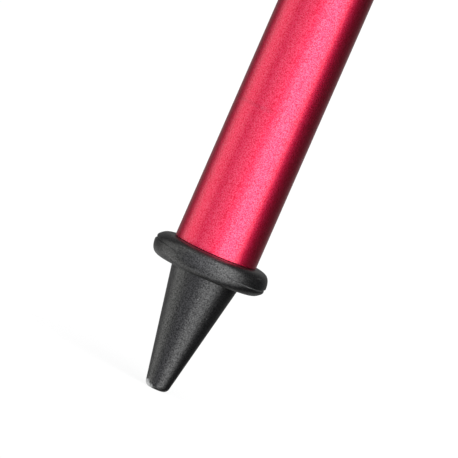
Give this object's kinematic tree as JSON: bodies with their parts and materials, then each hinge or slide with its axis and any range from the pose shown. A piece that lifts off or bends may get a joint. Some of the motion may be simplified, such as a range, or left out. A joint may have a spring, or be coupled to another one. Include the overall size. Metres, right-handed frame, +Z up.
{
  "type": "ski pole",
  "caption": "Junior adjustable ski pole with a blunt flanged tip, snow basket, cam-lever length clamp and moulded grip with a wrist strap.",
  "frame": {"origin": "centre of the tip's end face", "axes": "+Z up the shaft, towards the grip; +X towards the front of the grip, -X towards the strap"},
  "size_m": [0.1134, 0.059, 0.7506],
  "materials": {
    "red_anodised": "bead-blasted, clear red anodised",
    "tip_rubber": "hard moulded rubber, fine satin",
    "black_nylon": "moulded glass-filled nylon",
    "grip_rubber": "soft moulded grip rubber",
    "red_plastic": "moulded acetal, satin",
    "steel": "turned, zinc plated",
    "webbing": "woven polyester webbing",
    "acetal": "natural moulded plastic"
  },
  "bodies": {
    "lower_section": {"tip_cone": "tip_rubber", "tip_pin": "steel", "lower_tube": "red_anodised", "guide_bush": "acetal", "basket_sleeve": "black_nylon"},
    "basket": {"snow_basket": "black_nylon"},
    "upper_section": {"upper_tube": "red_anodised", "clamp_collar": "black_nylon", "clamp_pivot": "steel", "clamp_screw": "steel", "cam_washer": "steel", "grip_collar": "black_nylon", "grip_core": "acetal", "grip_rubber": "grip_rubber", "grip_head": "black_nylon", "strap_ends": "webbing", "anchor_screw": "steel", "anchor_nut": "steel"},
    "lever": {"clamp_lever": "red_plastic"},
    "nut": {"thumb_nut": "steel"},
    "wedge": {"strap_wedge": "red_plastic"},
    "strap": {"strap_loop": "webbing", "strap_keeper": "black_nylon"}
  },
  "joints": [
    {"name": "length_slide", "type": "slide", "parent": "lower_section", "child": "upper_section", "axis": [0, 0, 1], "range_m": [0, 0.3]},
    {"name": "basket_spin", "type": "hinge", "parent": "lower_section", "child": "basket", "pos_m": [0, 0, 0.09], "axis": [0, 0, 1], "continuous": true},
    {"name": "lever_swing", "type": "hinge", "parent": "upper_section", "child": "lever", "pos_m": [0.0146, -0.0119, 0.124], "axis": [0, 0, 1], "range_deg": [0, 110]},
    {"name": "nut_turn", "type": "hinge", "parent": "upper_section", "child": "nut", "pos_m": [0.0146, 0.0081, 0.124], "axis": [0, 1, 0], "range_deg": [-180, 180]},
    {"name": "wedge_lift", "type": "slide", "parent": "upper_section", "child": "wedge", "axis": [0, 0, 1], "range_m": [0, 0.009]},
    {"name": "strap_swing", "type": "hinge", "parent": "upper_section", "child": "strap", "pos_m": [-0.0235, 0, 0.736], "axis": [0, 1, 0], "range_deg": [0, 65]}
  ]
}
